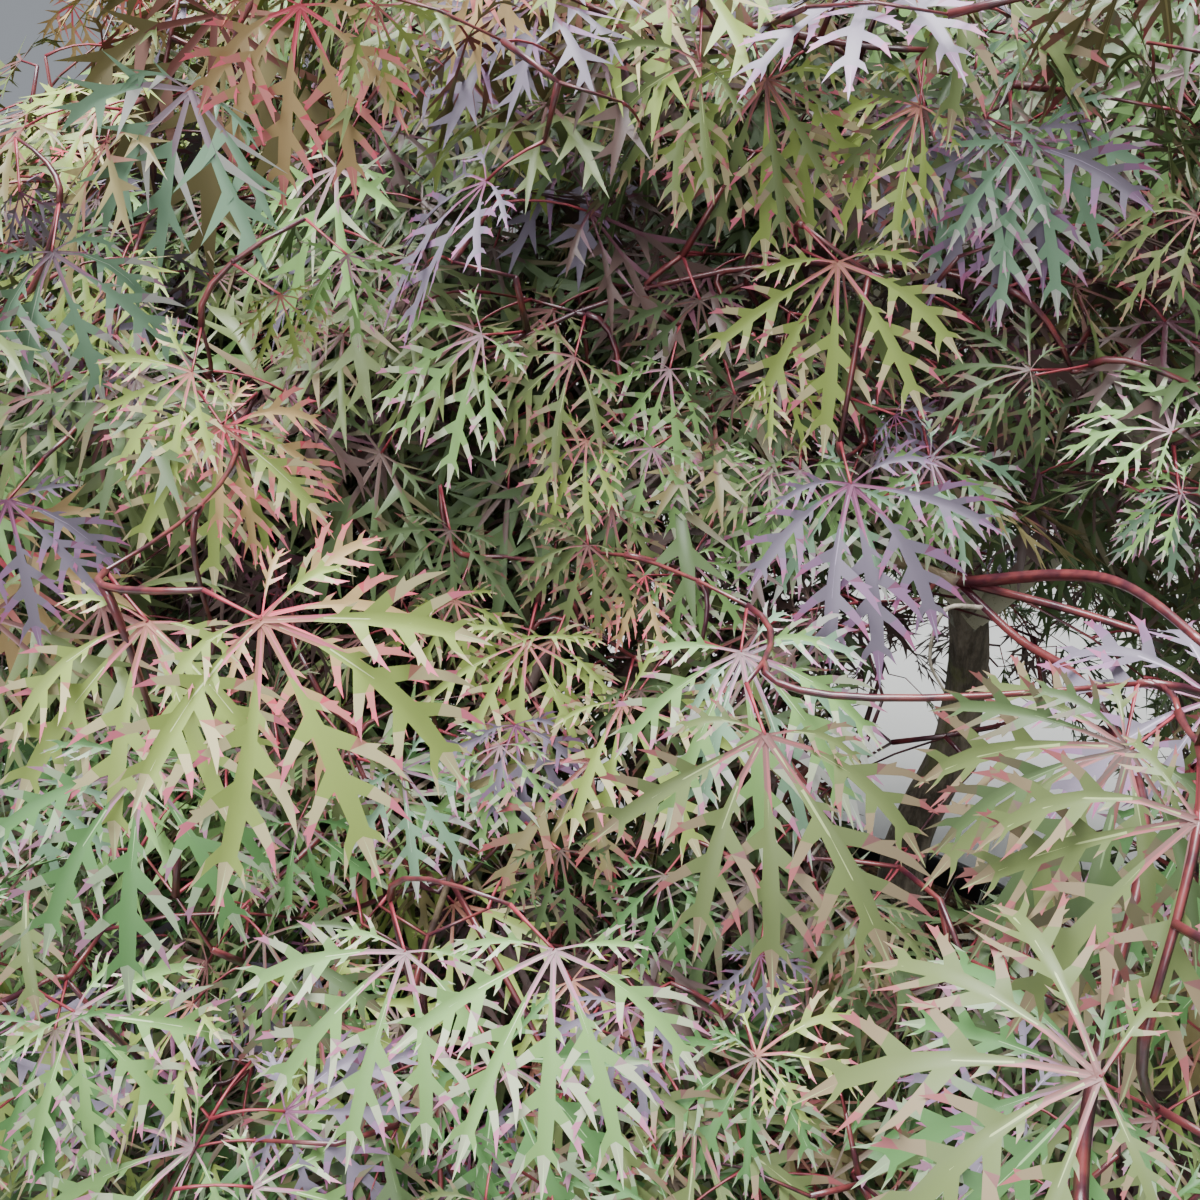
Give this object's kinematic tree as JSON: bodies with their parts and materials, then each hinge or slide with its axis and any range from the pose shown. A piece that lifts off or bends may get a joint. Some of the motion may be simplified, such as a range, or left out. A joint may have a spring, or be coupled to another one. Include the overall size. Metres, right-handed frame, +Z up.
{
  "type": "potted weeping maple",
  "caption": "Weeping laceleaf maple with a domed, cascading crown on a short crooked trunk, standing in a round black nursery container filled with bark mix.",
  "frame": {"origin": "middle of the container's flat underside, on the ground", "axes": "+Z up; -Y faces the viewer; +X to the viewer's right"},
  "size_m": [1.6764, 1.6708, 1.5094],
  "materials": {
    "container": "black moulded plastic with a soft sheen",
    "potting_mix": "loose chipped bark",
    "trunk_bark": "dark grey-brown bark with mossy patches",
    "bough_bark": "smooth grey-green to olive bark",
    "upper_leaves": "satin leaves, yellow-green to olive with pink tips",
    "shoulder_leaves": "satin leaves, blue-green to mauve with rose edges",
    "skirt_leaves": "satin leaves, green turning bronze and coral",
    "leader_leaves": "satin leaves, fresh yellow-green"
  },
  "bodies": {
    "root": {"container": "container", "potting_mix": "potting_mix", "trunk": "trunk_bark", "upper_bough_1": "bough_bark", "upper_bough_2": "bough_bark", "upper_bough_3": "bough_bark", "upper_bough_4": "bough_bark", "upper_bough_5": "bough_bark", "shoulder_bough_1": "bough_bark", "shoulder_bough_2": "bough_bark", "shoulder_bough_3": "bough_bark", "shoulder_bough_4": "bough_bark", "shoulder_bough_5": "bough_bark", "shoulder_bough_6": "bough_bark", "shoulder_bough_7": "bough_bark", "shoulder_bough_8": "bough_bark", "skirt_bough_1": "bough_bark", "skirt_bough_2": "bough_bark", "skirt_bough_3": "bough_bark", "skirt_bough_4": "bough_bark", "skirt_bough_5": "bough_bark", "skirt_bough_6": "bough_bark", "skirt_bough_7": "bough_bark", "skirt_bough_8": "bough_bark", "skirt_bough_9": "bough_bark", "skirt_bough_10": "bough_bark", "upper_foliage_1": "upper_leaves", "upper_foliage_2": "upper_leaves", "upper_foliage_3": "upper_leaves", "upper_foliage_4": "upper_leaves", "upper_foliage_5": "upper_leaves", "shoulder_foliage_1": "shoulder_leaves", "shoulder_foliage_2": "shoulder_leaves", "shoulder_foliage_3": "shoulder_leaves", "shoulder_foliage_4": "shoulder_leaves", "shoulder_foliage_5": "shoulder_leaves", "shoulder_foliage_6": "shoulder_leaves", "shoulder_foliage_7": "shoulder_leaves", "shoulder_foliage_8": "shoulder_leaves", "skirt_foliage_1": "skirt_leaves", "skirt_foliage_2": "skirt_leaves", "skirt_foliage_3": "skirt_leaves", "skirt_foliage_4": "skirt_leaves", "skirt_foliage_5": "skirt_leaves", "skirt_foliage_6": "skirt_leaves", "skirt_foliage_7": "skirt_leaves", "skirt_foliage_8": "skirt_leaves", "skirt_foliage_9": "skirt_leaves", "skirt_foliage_10": "skirt_leaves", "leader_foliage": "leader_leaves"}
  },
  "joints": []
}
